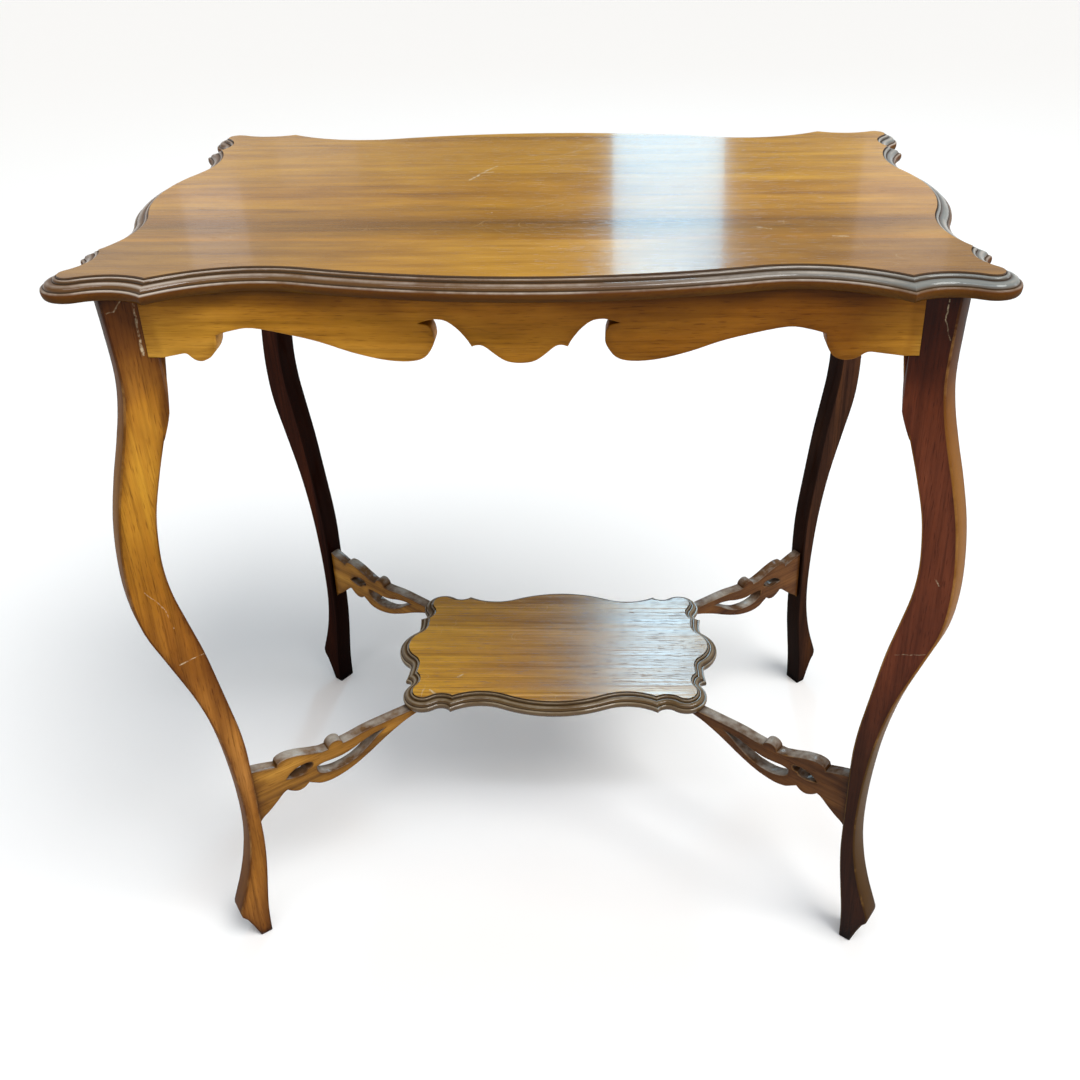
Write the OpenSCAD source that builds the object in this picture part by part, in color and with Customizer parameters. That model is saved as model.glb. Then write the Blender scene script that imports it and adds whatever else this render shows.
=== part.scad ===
// Serpentine centre table with flat cut cabriole legs and a low shelf.
// Millimetres, +Z up, front towards -Y, origin on the floor under the middle.

/* [Overall] */
// Height from the floor to the top surface
table_h = 710; // [620:1:800]
// Width over the middle bulges of the short ends
top_w = 702; // [620:1:800]
// Depth over the middle bulges of the long edges
top_d = 450; // [390:1:520]

/* [Top] */
// Thickness of the top boards
top_t = 16; // [12:0.5:24]
// Width of the moulded edge in plan
mould_w = 13; // [10:0.5:16]
// How far the long edges dip between bulge and corner
dip_long = 24.5; // [12:0.5:30]
// How far the short ends dip between bulge and corner
dip_short = 18.5; // [10:0.5:24]
// Distance from the front bulge back to the board joint
seam_in_y = 93; // [87:1:103]

/* [Aprons] */
// Thickness of the apron boards
apron_t = 18; // [14:0.5:22]
// Height of the aprons where they meet the legs
apron_h = 53.5; // [44:0.5:70]
// Distance from the long edge bulge back to the apron face
apron_in_y = 27.5; // [26:0.5:36]
// Distance from the short end bulge in to the apron face
apron_in_x = 52; // [46:0.5:60]
// How far the fretting of the long aprons sits left of the middle
fret_off = 8; // [0:0.5:10]

/* [Legs] */
// Thickness of the leg boards
leg_t = 21; // [16:0.5:26]
// Distance from the bulge line to the outer top corner of a leg, sideways
leg_in_x = 34.6; // [32:0.2:44]
// Distance from the bulge line to the outer top corner of a leg, front to back
leg_in_y = 21; // [18:0.2:30]
// Where the line of a leg crosses the long middle line of the table
leg_line_x = 33.5; // [15:0.5:60]

/* [Shelf and arms] */
// Height of the shelf surface above the floor
shelf_z = 208; // [180:1:240]
// Width of the shelf over its bulges
shelf_w = 343; // [300:1:390]
// Depth of the shelf over its bulges
shelf_d = 198; // [176:1:230]
// Thickness of the shelf
shelf_t = 13; // [12:0.5:18]
// Thickness of the fretted arms
arm_t = 12; // [10:0.5:16]
// Depth of the housings that hold the arms under the shelf
house_d = 4; // [3:0.5:5]

/* [Fixings] */
// Shank diameter of the long wood screws
screw_d = 4.2; // [3.5:0.1:5]
// Shank diameter of the short shelf screws
small_screw_d = 3.2; // [2.5:0.1:4]
// Diameter of the dowels
dowel_d = 6; // [5:0.5:8]
// Clearance round dowels, tenons and screws
fit = 0.1; // [0.05:0.05:0.3]
// Side of the triangular glue blocks
glue_block = 14; // [10:0.5:18]

/* [Hidden] */
$fn = 32;
steps = 4;

walnut = [0.66, 0.45, 0.22];
walnut_dark = [0.42, 0.24, 0.13];
beech = [0.78, 0.65, 0.45];
steel = [0.55, 0.54, 0.52];

leg_h = table_h - top_t;
apron_z = leg_h - apron_h;
face_y = top_d / 2 - apron_in_y;
face_x = top_w / 2 - apron_in_x;
leg_x = top_w / 2 - leg_in_x;
leg_y = top_d / 2 - leg_in_y;
leg_a = atan2(leg_y, leg_x - leg_line_x);
ca = cos(leg_a);
sa = sin(leg_a);
reach = norm([leg_x - leg_line_x, leg_y]);
half_t = leg_t / 2;
under_z = shelf_z - shelf_t;
pad_s = reach - 40;
head_s = (face_y - apron_t - half_t * ca) / sa;
seam_y = top_d / 2 - seam_in_y;

// Curves
function arc(c, r, a0, a1, n) =
  [for (i = [0:n]) [c.x + r * cos(a0 + (a1 - a0) * i / n), c.y + r * sin(a0 + (a1 - a0) * i / n)]];
function ang(v) = atan2(v.y, v.x);
function ang_pos(v) = ang(v) < 0 ? ang(v) + 360 : ang(v);
function flip(v) = [for (i = [len(v) - 1:-1:0]) v[i]];
function tail(v) = [for (i = [1:1:len(v) - 1]) v[i]];
function scaled(v, kx, ky) = [for (p = v) [p.x * kx, p.y * ky]];
function moved(v, dx, dy) = [for (p = v) [p.x + dx, p.y + dy]];
function meet(p, r, q, s, side) =
  let (d = norm(q - p), a = (r * r - s * s + d * d) / (2 * d), h = sqrt(r * r - a * a))
  let (u = (q - p) / d)
  [p.x + u.x * a - side * u.y * h, p.y + u.y * a + side * u.x * h];
function blend(a, b, c, d, t) =
  0.5 * (2 * b + (c - a) * t + (2 * a - 5 * b + 4 * c - d) * t * t
         + (3 * b - a - 3 * c + d) * t * t * t);
function smooth(v, n) =
  [for (i = [0:len(v) - 2]) for (k = [0:n - 1])
     blend(v[max(i - 1, 0)], v[i], v[i + 1], v[min(i + 2, len(v) - 1)], k / n),
   v[len(v) - 1]];

// Serpentine board outline
// Half sizes, dips, dip places, corner points, ear and flank radii of one quarter.
top_q = [[top_w / 2 - mould_w, top_d / 2 - mould_w], [0.58, 0.472], [dip_long, dip_short],
         [0.808, 0.708], [0, 6], [7, 10], 9.5, [57, 38]];
shelf_q = [[shelf_w / 2 - mould_w, shelf_d / 2 - mould_w], [0.472, 0.384], [15, 16.2],
           [0.656, 0.512], [8.6, 15.7], [24, 13.5], 8.5, [24, 18]];

// Centres and radii of the arcs of a quarter
function q_half(q) = q[0];
function q_dip_y(q) = [q[1].x * q[0].x, q[0].y - q[2].x];
function q_dip_x(q) = [q[0].x - q[2].y, q[1].y * q[0].y];
function q_cusp_y(q) = [q[3].x * q[0].x, q[0].y - q[4].x];
function q_cusp_x(q) = [q[0].x - q[4].y, q[3].y * q[0].y];
function q_ear(q) = q[0] - q[5];
function q_ry(q) =
  let (w = q_dip_y(q), c = q_cusp_y(q)) (pow(c.x - w.x, 2) + pow(c.y - w.y, 2)) / (2 * (c.y - w.y));
function q_rx(q) =
  let (w = q_dip_x(q), c = q_cusp_x(q)) (pow(c.x - w.x, 2) + pow(c.y - w.y, 2)) / (2 * (c.x - w.x));
function q_sum_y(q) = (pow(q_dip_y(q).x, 2) + pow(q[2].x, 2)) / (2 * q[2].x);
function q_sum_x(q) = (pow(q_dip_x(q).y, 2) + pow(q[2].y, 2)) / (2 * q[2].y);
function q_py(q) = min(q_ry(q), q_sum_y(q) / 2);
function q_px(q) = min(q_rx(q), q_sum_x(q) / 2);
function q_by(q) = q_sum_y(q) - q_py(q);
function q_bx(q) = q_sum_x(q) - q_px(q);
function q_mid_y(q) = [0, q_half(q).y - q_by(q)];
function q_mid_x(q) = [q_half(q).x - q_bx(q), 0];
function q_bend_y(q) = q_dip_y(q) + [0, q_py(q)];
function q_bend_x(q) = q_dip_x(q) + [q_px(q), 0];
function q_cy(q) = q_dip_y(q) + [0, q_ry(q)];
function q_cx(q) = q_dip_x(q) + [q_rx(q), 0];
function q_fy(q) = meet(q_cusp_y(q), q[7].x, q_ear(q), q[7].x + q[6], 1);
function q_fx(q) = meet(q_cusp_x(q), q[7].y, q_ear(q), q[7].y + q[6], -1);
function q_tip_y(q, d) = meet(q_cy(q), q_ry(q) - d, q_fy(q), q[7].x - d, -1);
function q_tip_x(q, d) = meet(q_cx(q), q_rx(q) - d, q_fx(q), q[7].y - d, 1);

// Short end from the middle past the dip, then on to the board joint or the corner point
function end_bulge(q, d) =
  concat(arc(q_mid_x(q), q_bx(q) + d, 0, ang(q_bend_x(q) - q_mid_x(q)), 7),
         tail(arc(q_bend_x(q), q_px(q) - d, ang_pos(q_mid_x(q) - q_bend_x(q)), 180, 5)));
function end_seam(q, d, y) = 180 - asin((y - q_cx(q).y) / (q_rx(q) - d));
function end_stop(q, d) = ang_pos(q_tip_x(q, d) - q_cx(q));
function end_rise(q, d, a, n) = tail(arc(q_cx(q), q_rx(q) - d, 180, a, n));
// Corner ear and long edge, from the short end cusp to the middle of the long edge
function corner(q, d) =
  concat(
    tail(arc(q_fx(q), q[7].y - d, ang_pos(q_tip_x(q, d) - q_fx(q)), ang_pos(q_ear(q) - q_fx(q)), 7)),
    tail(arc(q_ear(q), q[6] + d, ang(q_fx(q) - q_ear(q)), ang(q_fy(q) - q_ear(q)), 10)),
    tail(arc(q_fy(q), q[7].x - d, ang(q_ear(q) - q_fy(q)), ang(q_tip_y(q, d) - q_fy(q)), 7)),
    tail(arc(q_cy(q), q_ry(q) - d, ang(q_tip_y(q, d) - q_cy(q)), -90, 4)),
    tail(arc(q_bend_y(q), q_py(q) - d, -90, ang(q_mid_y(q) - q_bend_y(q)), 6)),
    tail(arc(q_mid_y(q), q_by(q) + d, ang(q_bend_y(q) - q_mid_y(q)), 90, 7)));
function quarter(q, d) =
  concat(end_bulge(q, d), end_rise(q, d, end_stop(q, d), 4), corner(q, d));
function low_part(q, d, y) = concat(end_bulge(q, d), end_rise(q, d, end_seam(q, d, y), 2));
function high_part(q, d, y) =
  concat(arc(q_cx(q), q_rx(q) - d, end_seam(q, d, y), end_stop(q, d), 2), corner(q, d));

function whole_ring(q, d) =
  let (v = quarter(q, d), w = tail(v), m = len(w))
  concat(v, tail(flip(scaled(v, -1, 1))), tail(scaled(v, -1, -1)),
         [for (i = [m - 2:-1:0]) [w[i].x, -w[i].y]]);
function front_ring(q, d, y) =
  let (v = high_part(q, d, y)) concat(scaled(v, -1, -1), tail(flip(scaled(v, 1, -1))));
function back_ring(q, d, y) =
  let (v = quarter(q, d), w = low_part(q, d, y))
  concat(flip(scaled(w, 1, -1)), tail(v), tail(flip(scaled(v, -1, 1))), tail(scaled(w, -1, -1)));

// Moulded edge as steps outwards and down, in parts of its width and of the thickness
function edge_profile(w, t) =
  [[0, 0], [0.03 * w, 0.09 * t], [0.2 * w, 0.1 * t], [0.27 * w, 0.21 * t], [0.42 * w, 0.22 * t],
   [0.65 * w, 0.29 * t], [0.79 * w, 0.44 * t], [0.93 * w, 0.47 * t], [w, 0.59 * t],
   [0.97 * w, 0.82 * t], [0.9 * w, 0.94 * t], [0.8 * w, t]];

module stack(rings, levels) {
  n = len(rings[0]);
  m = len(rings) - 1;
  pts = [for (i = [0:m]) for (p = rings[i]) [p.x, p.y, levels[i]]];
  sides = [for (i = [0:m - 1]) for (j = [0:n - 1])
             [i * n + j, i * n + (j + 1) % n, (i + 1) * n + (j + 1) % n, (i + 1) * n + j]];
  upper = [[for (j = [n - 1:-1:0]) j]];
  lower = [[for (j = [0:n - 1]) m * n + j]];
  polyhedron(points = pts, faces = concat(upper, sides, lower), convexity = 6);
}

// Leg outline in the plane of the leg, distance along the leg line and height
function leg_outer() =
  [for (p = smooth([[0, 1], [-2, 0.951], [-3, 0.9], [0, 0.862], [6.5, 0.821], [14.5, 0.778],
                    [22, 0.728], [26, 0.677], [26.5, 0.627], [22, 0.576], [9, 0.519],
                    [-7.5, 0.447], [-18.5, 0.375], [-24.5, 0.303], [-27, 0.238], [-26, 0.187],
                    [-21.5, 0.144], [-15, 0.108], [-8, 0.079], [-4, 0.063]], steps))
     [reach + p.x, p.y * leg_h]];
leg_foot = [[-3.6, 0.058], [-4.6, 0.05], [-8.5, 0.042], [-14, 0.021], [-18.5, 0], [-29, 0]];
function leg_inner_low() =
  [for (p = smooth([[10, 0], [9.5, 0.15], [8.2, 0.3], [5, 0.5], [2, 0.7], [0.4, 0.87], [0, 1]], steps))
     [pad_s + p.x, p.y * (under_z - 62)]];
function leg_inner_high() =
  let (z0 = under_z + 18)
  [for (p = smooth([[0, 0], [0.5, 0.06], [2.8, 0.12], [7, 0.185], [12.5, 0.265], [18.5, 0.347],
                    [26.5, 0.43], [33, 0.5], [35.8, 0.56], [35.4, 0.618], [32, 0.687],
                    [24.5, 0.757], [17, 0.816], [9.5, 0.874], [4.5, 0.933], [1, 1]], steps))
     [pad_s + p.x, z0 + p.y * (apron_z - z0)]];
function leg_outline(with_head) =
  concat([[reach, leg_h]], tail(leg_outer()), [for (p = leg_foot) [reach + p.x, p.y * leg_h]],
         leg_inner_low(), leg_inner_high(),
         with_head ? [[head_s, apron_z], [head_s, leg_h]] : [[pad_s, apron_z]]);

// Turns a shape drawn along the leg line into place at the front right
module on_leg_line() {
  translate([leg_line_x, 0, 0]) rotate([0, 0, -leg_a]) children();
}
module upright(t) {
  rotate([90, 0, 0]) linear_extrude(t, center = true) children();
}
module quarters(x, y) {
  if (x == 1 && y == -1) children();
  if (x == -1 && y == -1) mirror([1, 0, 0]) children();
  if (x == 1 && y == 1) mirror([0, 1, 0]) children();
  if (x == -1 && y == 1) mirror([1, 0, 0]) mirror([0, 1, 0]) children();
}

// Joints at the leg head
tenon_z = apron_z + 12;
tenon_h = apron_h - 22;
function near_x(y) = leg_line_x + (y * ca - half_t) / sa;
function far_y(x) = ((x - leg_line_x) * sa - half_t) / ca;
mid_y = face_y - apron_t / 2;
mid_x = face_x - apron_t / 2;
module front_tenon(grow) {
  translate([near_x(mid_y) - 6, -mid_y - 3 - grow, tenon_z - grow])
    cube([17.5 + grow, 6 + 2 * grow, tenon_h + 2 * grow]);
}
module side_tenon(grow) {
  translate([mid_x - 3 - grow, -far_y(mid_x) - 8.5 - grow, tenon_z - grow])
    cube([6 + 2 * grow, 14.5 + grow, tenon_h + 2 * grow]);
}

// Square shoulders that bring the leg head flush with the apron faces
shoulder_l = 76;
module shoulder() {
  x0 = near_x(face_y);
  x1 = near_x(face_y) - 8;
  y0 = far_y(face_x);
  y1 = far_y(face_x) - 5;
  inside_y = (x1 - leg_line_x) * sa / ca;
  inside_x = leg_line_x + y1 * ca / sa;
  intersection() {
    on_leg_line() upright(leg_t + 20) polygon(leg_outline(false));
    translate([0, 0, apron_z - shoulder_l]) linear_extrude(shoulder_l)
      union() {
        polygon([[x0, -face_y], [x1, -face_y], [x1, -inside_y], [x0, -face_y + 6]]);
        polygon([[face_x, -y0], [face_x, -y1], [inside_x, -y1], [face_x - 6, -y0 - 4]]);
      }
  }
}

module screw_hole(d, l) {
  translate([0, 0, -0.5]) cylinder(d = d + 2 * fit, h = l + 0.5 + fit);
}
module screw(d, l) {
  union() {
    cylinder(d1 = d * 2, d2 = d, h = d / 2);
    cylinder(d = d, h = l);
  }
}
module screw_seat(d) {
  translate([0, 0, -0.01]) cylinder(d1 = d * 2 + 2 * fit, d2 = d + 2 * fit, h = d / 2 + fit);
}

block_h = 32;
block_l = 35;
block_gap = 0.4;
block_z = leg_h - block_h;
block_s = head_s - block_l;
block_ax = (block_s + leg_line_x * ca - (face_y - apron_t) * sa) / ca;
block_ay = (block_s + leg_line_x * ca - (face_x - apron_t) * ca) / sa;
screw_l = 50;
module at_block_screw() {
  on_leg_line() translate([block_s, 0, block_z + block_h / 2]) rotate([0, 90, 0]) children();
}
top_cover = 6;
top_screw_in = 10;
top_screw_l = top_t - top_cover + block_h;
module at_top_screws() {
  translate([block_ax + 0.57 * block_l, -(face_y - apron_t - top_screw_in), block_z]) children();
  translate([face_x - apron_t - 0.9 * top_screw_in, -(block_ay + 0.83 * block_l), block_z])
    children();
}

dowel_l = 19;
dowel_in = 12;
top_dowel_l = 36;
small_screw_l = 15;
glue_block_l = 56;
dowel_up = [-38, -8];
module at_arm_dowels(s) {
  for (z = dowel_up)
    on_leg_line() translate([s, 0, under_z + z]) rotate([0, 90, 0]) children();
}

// Arm
ear_s = (q_ear(shelf_q).x - leg_line_x) * ca + q_ear(shelf_q).y * sa + 3.4;
tongue = [-21, 8];
arm_k = (pad_s - ear_s) / 182.3;
screw_u = -5;
function arm_outline() =
  scaled(concat(
    [[182.3, 10], [170, 6.5], [158, 2.3]],
    smooth([[156.8, 5.5], [152.8, 7.8], [145.3, 8.2], [134.3, 5.5], [122.3, 0.8], [112.3, -2.6]], steps),
    arc([98.3, -4.2], 8.2, 10, 170, 10),
    smooth([[88, -2.8], [80.3, -2.2], [68.3, -0.6], [56.3, 0]], steps),
    [[tongue[1], 0], [tongue[1], house_d], [tongue[0], house_d], [tongue[0], -3.5]],
    smooth([[-3.7, -4], [8.3, -6.5], [20.3, -9.5], [32.3, -14], [47.3, -21], [62.3, -29],
            [77.3, -36], [87.3, -39.5], [97.3, -41.7], [107.3, -42.5], [117.3, -40.8],
            [124.3, -36.5], [129.3, -33.2]], steps),
    tail(smooth([[129.3, -33.2], [134.3, -36.7], [140.3, -37.4], [146.3, -34.5], [151.3, -30.2]], steps)),
    tail(smooth([[151.3, -30.2], [155.3, -32], [164.3, -40], [172.3, -46.5], [178.3, -50.5],
                 [182.3, -55]], steps))), arm_k, 1);
function short_slot() =
  scaled(smooth([[150.3, -16.5], [146, -12], [140, -9], [133, -8], [127, -8.4], [123.4, -10.8],
                 [124.6, -14.6], [129, -15.6], [131.8, -18.6], [138, -19.2], [145, -18],
                 [150.3, -16.5]], steps), arm_k, 1);
function long_slot() =
  scaled(concat(
    smooth([[119.3, -18], [112.3, -16.8], [102.3, -17.6], [92.3, -17.8], [80.3, -15.5],
            [68.3, -11.4], [57.3, -9], [46.3, -8]], steps),
    tail(smooth([[46.3, -8], [54, -12.5], [62.3, -19], [72.3, -25.5], [82.3, -30], [94.3, -32],
                 [104.3, -31.8], [113.3, -29], [118.8, -24.5], [119.3, -18]], steps))), arm_k, 1);
module arm_shape() {
  difference() {
    translate([ear_s, under_z]) polygon(arm_outline());
    translate([ear_s, under_z]) polygon(tail(short_slot()));
    translate([ear_s, under_z]) polygon(tail(long_slot()));
  }
}
module at_shelf_screw() {
  on_leg_line() translate([ear_s + screw_u, 0, under_z - 4]) children();
}

// Apron lower edges, height above the apron line, drawn for an apron 53.5 high
edge_k = apron_h / 53.5;
drop_edge = smooth([[-35.5, 8.3], [-31, 9.5], [-26, 8.2], [-17.5, 1], [-10, -3.8], [0, -5.3],
                    [10, -3.8], [17.5, 1], [26, 8.2], [31, 9.5], [35.5, 8.3]], steps);
hook_edge = tail(smooth([[35.5, 8.3], [39, 14.5], [45.5, 22.7], [53, 28.7], [60, 30.4],
                         [66, 29.8], [73.5, 27.5]], steps));
scroll_edge = tail(smooth([[73.5, 27.5], [67.5, 26], [64.5, 22.5], [63, 16.3], [64, 9.2],
                           [71, -0.5], [83, -3.7], [102, -2.2], [125, 3.9], [146, 11.7],
                           [166, 17.4], [196, 23.7], [213, 21.5], [224.5, 18]], steps));
lobe_edge = tail(smooth([[0, 18], [1, 9], [5, 1.5], [10, -2], [15.5, -3.2], [21.5, -1.5],
                         [27, 2.7], [30.5, 3.3]], steps));
arch_edge = tail(smooth([[35.5, 8.3], [41, 11], [52, 16.5], [66, 21.5], [83, 23.9],
                         [100, 23], [112, 20.5], [118.5, 18]], steps));
function front_edge(half) =
  concat(scaled(concat(hook_edge, scroll_edge), half / 286, edge_k),
         moved(scaled(lobe_edge, 1, edge_k), half * 224.5 / 286, 0), [[half - 12, 0], [half, 0]]);
function side_edge(half) =
  concat(scaled(arch_edge, (half - 61.5) / 118.5, edge_k),
         moved(scaled(lobe_edge, 1, edge_k), half - 61.5, 0), [[half - 12, 0], [half, 0]]);
function drift(v, d, half) =
  [for (p = v) [p.x - d * min(1, max(0, (half - 12 - abs(p.x)) / 40)), p.y]];
function apron_outline(edge, half, k, off) =
  concat(drift(concat(flip(scaled(edge, -1, 1)), scaled(drop_edge, k, edge_k), edge), off, half),
         [[half, apron_h], [-half, apron_h]]);

module long_apron() {
  half = near_x(face_y);
  difference() {
    union() {
      intersection() {
        translate([0, -mid_y, apron_z]) upright(apron_t)
          polygon(apron_outline(front_edge(half), half, half / 286, fret_off));
        translate([0, 0, apron_z - 10]) linear_extrude(apron_h + 10)
          polygon([[near_x(face_y), -face_y], [near_x(face_y - apron_t), -face_y + apron_t],
                   [-near_x(face_y - apron_t), -face_y + apron_t], [-near_x(face_y), -face_y]]);
      }
      front_tenon(0);
      mirror([1, 0, 0]) front_tenon(0);
    }
  }
}
module short_apron() {
  half = far_y(face_x);
  union() {
    intersection() {
      translate([mid_x, 0, apron_z]) rotate([0, 0, 90]) upright(apron_t)
        polygon(apron_outline(side_edge(half), half, (half - 61.5) / 118.5, 0));
      translate([0, 0, apron_z - 10]) linear_extrude(apron_h + 10)
        polygon([[face_x, -far_y(face_x)], [face_x, far_y(face_x)],
                 [face_x - apron_t, far_y(face_x - apron_t)],
                 [face_x - apron_t, -far_y(face_x - apron_t)]]);
    }
    side_tenon(0);
    mirror([0, 1, 0]) side_tenon(0);
  }
}

module leg() {
  difference() {
    union() {
      on_leg_line() upright(leg_t) polygon(leg_outline(true));
      shoulder();
    }
    front_tenon(fit);
    side_tenon(fit);
    at_arm_dowels(pad_s - 1)
      cylinder(d = dowel_d + 2 * fit, h = dowel_l - dowel_in + 1 + 2 * fit);
    at_block_screw() screw_hole(screw_d, screw_l);
  }
}

module corner_block() {
  hs = head_s - block_gap;
  difference() {
    translate([0, 0, block_z]) linear_extrude(block_h)
      polygon([[block_ax, -(face_y - apron_t)],
               [leg_line_x + hs * ca - half_t * sa, -(face_y - apron_t)],
               [leg_line_x + hs * ca - half_t * sa, -(hs * sa + half_t * ca)],
               [leg_line_x + hs * ca + half_t * sa, -(hs * sa - half_t * ca)],
               [face_x - apron_t, -far_y(face_x - apron_t) + block_gap],
               [face_x - apron_t, -block_ay]]);
    at_block_screw() screw_hole(screw_d, screw_l);
    at_block_screw() screw_seat(screw_d);
    at_top_screws() screw_hole(screw_d, top_screw_l);
    at_top_screws() screw_seat(screw_d);
  }
}

module glue_prism(l) {
  rotate([90, 0, 90]) linear_extrude(l, center = true)
    polygon([[0, 0], [glue_block, 0], [0, -glue_block]]);
}
module glue_long(x) {
  translate([x, -(face_y - apron_t), leg_h]) glue_prism(glue_block_l);
}
module glue_short() {
  translate([face_x - apron_t, 0, leg_h]) rotate([0, 0, 90]) glue_prism(glue_block_l);
}

module arm() {
  difference() {
    on_leg_line() upright(arm_t) arm_shape();
    at_arm_dowels(pad_s - dowel_in - 2 * fit) cylinder(d = dowel_d + 2 * fit, h = dowel_in + 2);
    at_shelf_screw() screw_hole(small_screw_d, small_screw_l + 1);
    at_shelf_screw() screw_seat(small_screw_d);
  }
}

module top_holes() {
  for (x = [-1, 1]) for (y = [-1, 1])
    quarters(x, y) at_top_screws() screw_hole(screw_d, top_screw_l);
  for (x = [-0.34, -0.12, 0.12, 0.34])
    translate([x * top_w, -seam_y + top_dowel_l / 2 + 2 * fit, table_h - top_t / 2])
      rotate([90, 0, 0]) cylinder(d = dowel_d + 2 * fit, h = top_dowel_l + 4 * fit);
}
profile_top = edge_profile(mould_w, top_t);
profile_shelf = edge_profile(mould_w, shelf_t);

module top_front_board() {
  color(walnut) difference() {
    stack([for (p = profile_top) front_ring(top_q, p.x, seam_y)],
          [for (p = profile_top) table_h - p.y]);
    top_holes();
  }
}
module top_back_board() {
  color(walnut) difference() {
    stack([for (p = profile_top) back_ring(top_q, p.x, seam_y)],
          [for (p = profile_top) table_h - p.y]);
    top_holes();
  }
}
module top_dowels() {
  color(beech) for (x = [-0.34, -0.12, 0.12, 0.34])
    translate([x * top_w, -seam_y + top_dowel_l / 2, table_h - top_t / 2]) rotate([90, 0, 0])
      cylinder(d = dowel_d, h = top_dowel_l);
}
module front_apron() {
  color(walnut) long_apron();
}
module back_apron() {
  color(walnut) mirror([0, 1, 0]) long_apron();
}
module right_apron() {
  color(walnut) short_apron();
}
module left_apron() {
  color(walnut) mirror([1, 0, 0]) short_apron();
}
module leg_front_right() {
  color(walnut_dark) quarters(1, -1) leg();
}
module leg_front_left() {
  color(walnut_dark) quarters(-1, -1) leg();
}
module leg_back_right() {
  color(walnut_dark) quarters(1, 1) leg();
}
module leg_back_left() {
  color(walnut_dark) quarters(-1, 1) leg();
}
module corner_block_front_right() {
  color(beech) quarters(1, -1) corner_block();
}
module corner_block_front_left() {
  color(beech) quarters(-1, -1) corner_block();
}
module corner_block_back_right() {
  color(beech) quarters(1, 1) corner_block();
}
module corner_block_back_left() {
  color(beech) quarters(-1, 1) corner_block();
}
module glue_block_front_left() {
  color(beech) glue_long(-0.15 * top_w);
}
module glue_block_front_right() {
  color(beech) glue_long(0.15 * top_w);
}
module glue_block_back_left() {
  color(beech) mirror([0, 1, 0]) glue_long(-0.15 * top_w);
}
module glue_block_back_right() {
  color(beech) mirror([0, 1, 0]) glue_long(0.15 * top_w);
}
module glue_block_right() {
  color(beech) glue_short();
}
module glue_block_left() {
  color(beech) mirror([1, 0, 0]) glue_short();
}
module shelf() {
  color(walnut) difference() {
    stack([for (p = profile_shelf) whole_ring(shelf_q, p.x)],
          [for (p = profile_shelf) shelf_z - p.y]);
    for (x = [-1, 1]) for (y = [-1, 1]) quarters(x, y) {
      on_leg_line() translate([ear_s + tongue[0] * arm_k - fit, -arm_t / 2 - fit, under_z - 1])
        cube([(tongue[1] - tongue[0]) * arm_k + 2 * fit, arm_t + 2 * fit, house_d + 1]);
      at_shelf_screw() screw_hole(small_screw_d, small_screw_l);
    }
  }
}
module arm_front_right() {
  color(walnut_dark) quarters(1, -1) arm();
}
module arm_front_left() {
  color(walnut_dark) quarters(-1, -1) arm();
}
module arm_back_right() {
  color(walnut_dark) quarters(1, 1) arm();
}
module arm_back_left() {
  color(walnut_dark) quarters(-1, 1) arm();
}
module arm_dowels() {
  color(beech) for (x = [-1, 1]) for (y = [-1, 1])
    quarters(x, y) at_arm_dowels(pad_s - dowel_in) cylinder(d = dowel_d, h = dowel_l);
}
module shelf_screws() {
  color(steel) for (x = [-1, 1]) for (y = [-1, 1])
    quarters(x, y) at_shelf_screw() screw(small_screw_d, small_screw_l);
}
module corner_block_screws() {
  color(steel) for (x = [-1, 1]) for (y = [-1, 1])
    quarters(x, y) at_block_screw() screw(screw_d, screw_l);
}
module top_screws() {
  color(steel) for (x = [-1, 1]) for (y = [-1, 1])
    quarters(x, y) at_top_screws() screw(screw_d, top_screw_l);
}

top_front_board();
top_back_board();
top_dowels();
front_apron();
back_apron();
left_apron();
right_apron();
leg_front_left();
leg_front_right();
leg_back_left();
leg_back_right();
corner_block_front_left();
corner_block_front_right();
corner_block_back_left();
corner_block_back_right();
glue_block_front_left();
glue_block_front_right();
glue_block_back_left();
glue_block_back_right();
glue_block_left();
glue_block_right();
shelf();
arm_front_left();
arm_front_right();
arm_back_left();
arm_back_right();
arm_dowels();
shelf_screws();
corner_block_screws();
top_screws();
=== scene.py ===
# %% [markdown]
# # A serpentine centre table
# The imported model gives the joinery: boards, legs, rails and fixings in one frame, in metres,
# with the front towards -Y. This lesson dresses it. The moulded boards are run again as a
# joiner would run them, the sawn parts get eased edges, and every surface gets its finish.

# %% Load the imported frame
import math

import bmesh
import bpy
from mathutils import Matrix, Vector


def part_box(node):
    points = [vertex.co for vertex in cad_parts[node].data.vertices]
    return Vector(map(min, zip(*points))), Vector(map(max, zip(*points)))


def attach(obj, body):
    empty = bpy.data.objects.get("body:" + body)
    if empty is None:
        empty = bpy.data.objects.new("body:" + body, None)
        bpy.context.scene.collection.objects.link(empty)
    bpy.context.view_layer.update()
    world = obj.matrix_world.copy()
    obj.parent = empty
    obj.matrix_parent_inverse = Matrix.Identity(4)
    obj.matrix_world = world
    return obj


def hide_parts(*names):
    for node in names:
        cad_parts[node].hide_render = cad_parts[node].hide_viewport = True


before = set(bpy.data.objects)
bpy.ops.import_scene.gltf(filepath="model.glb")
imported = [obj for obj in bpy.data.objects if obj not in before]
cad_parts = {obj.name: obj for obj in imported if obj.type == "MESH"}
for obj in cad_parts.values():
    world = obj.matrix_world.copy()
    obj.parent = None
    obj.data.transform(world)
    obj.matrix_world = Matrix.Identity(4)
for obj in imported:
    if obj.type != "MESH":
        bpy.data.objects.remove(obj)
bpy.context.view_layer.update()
MM = 0.001

# %% [markdown]
# ## Where the photograph was taken from
# The camera stands just right of the middle, a little above the top, and looks down by
# 27 degrees. It comes first, because every later choice is judged through it.


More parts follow.
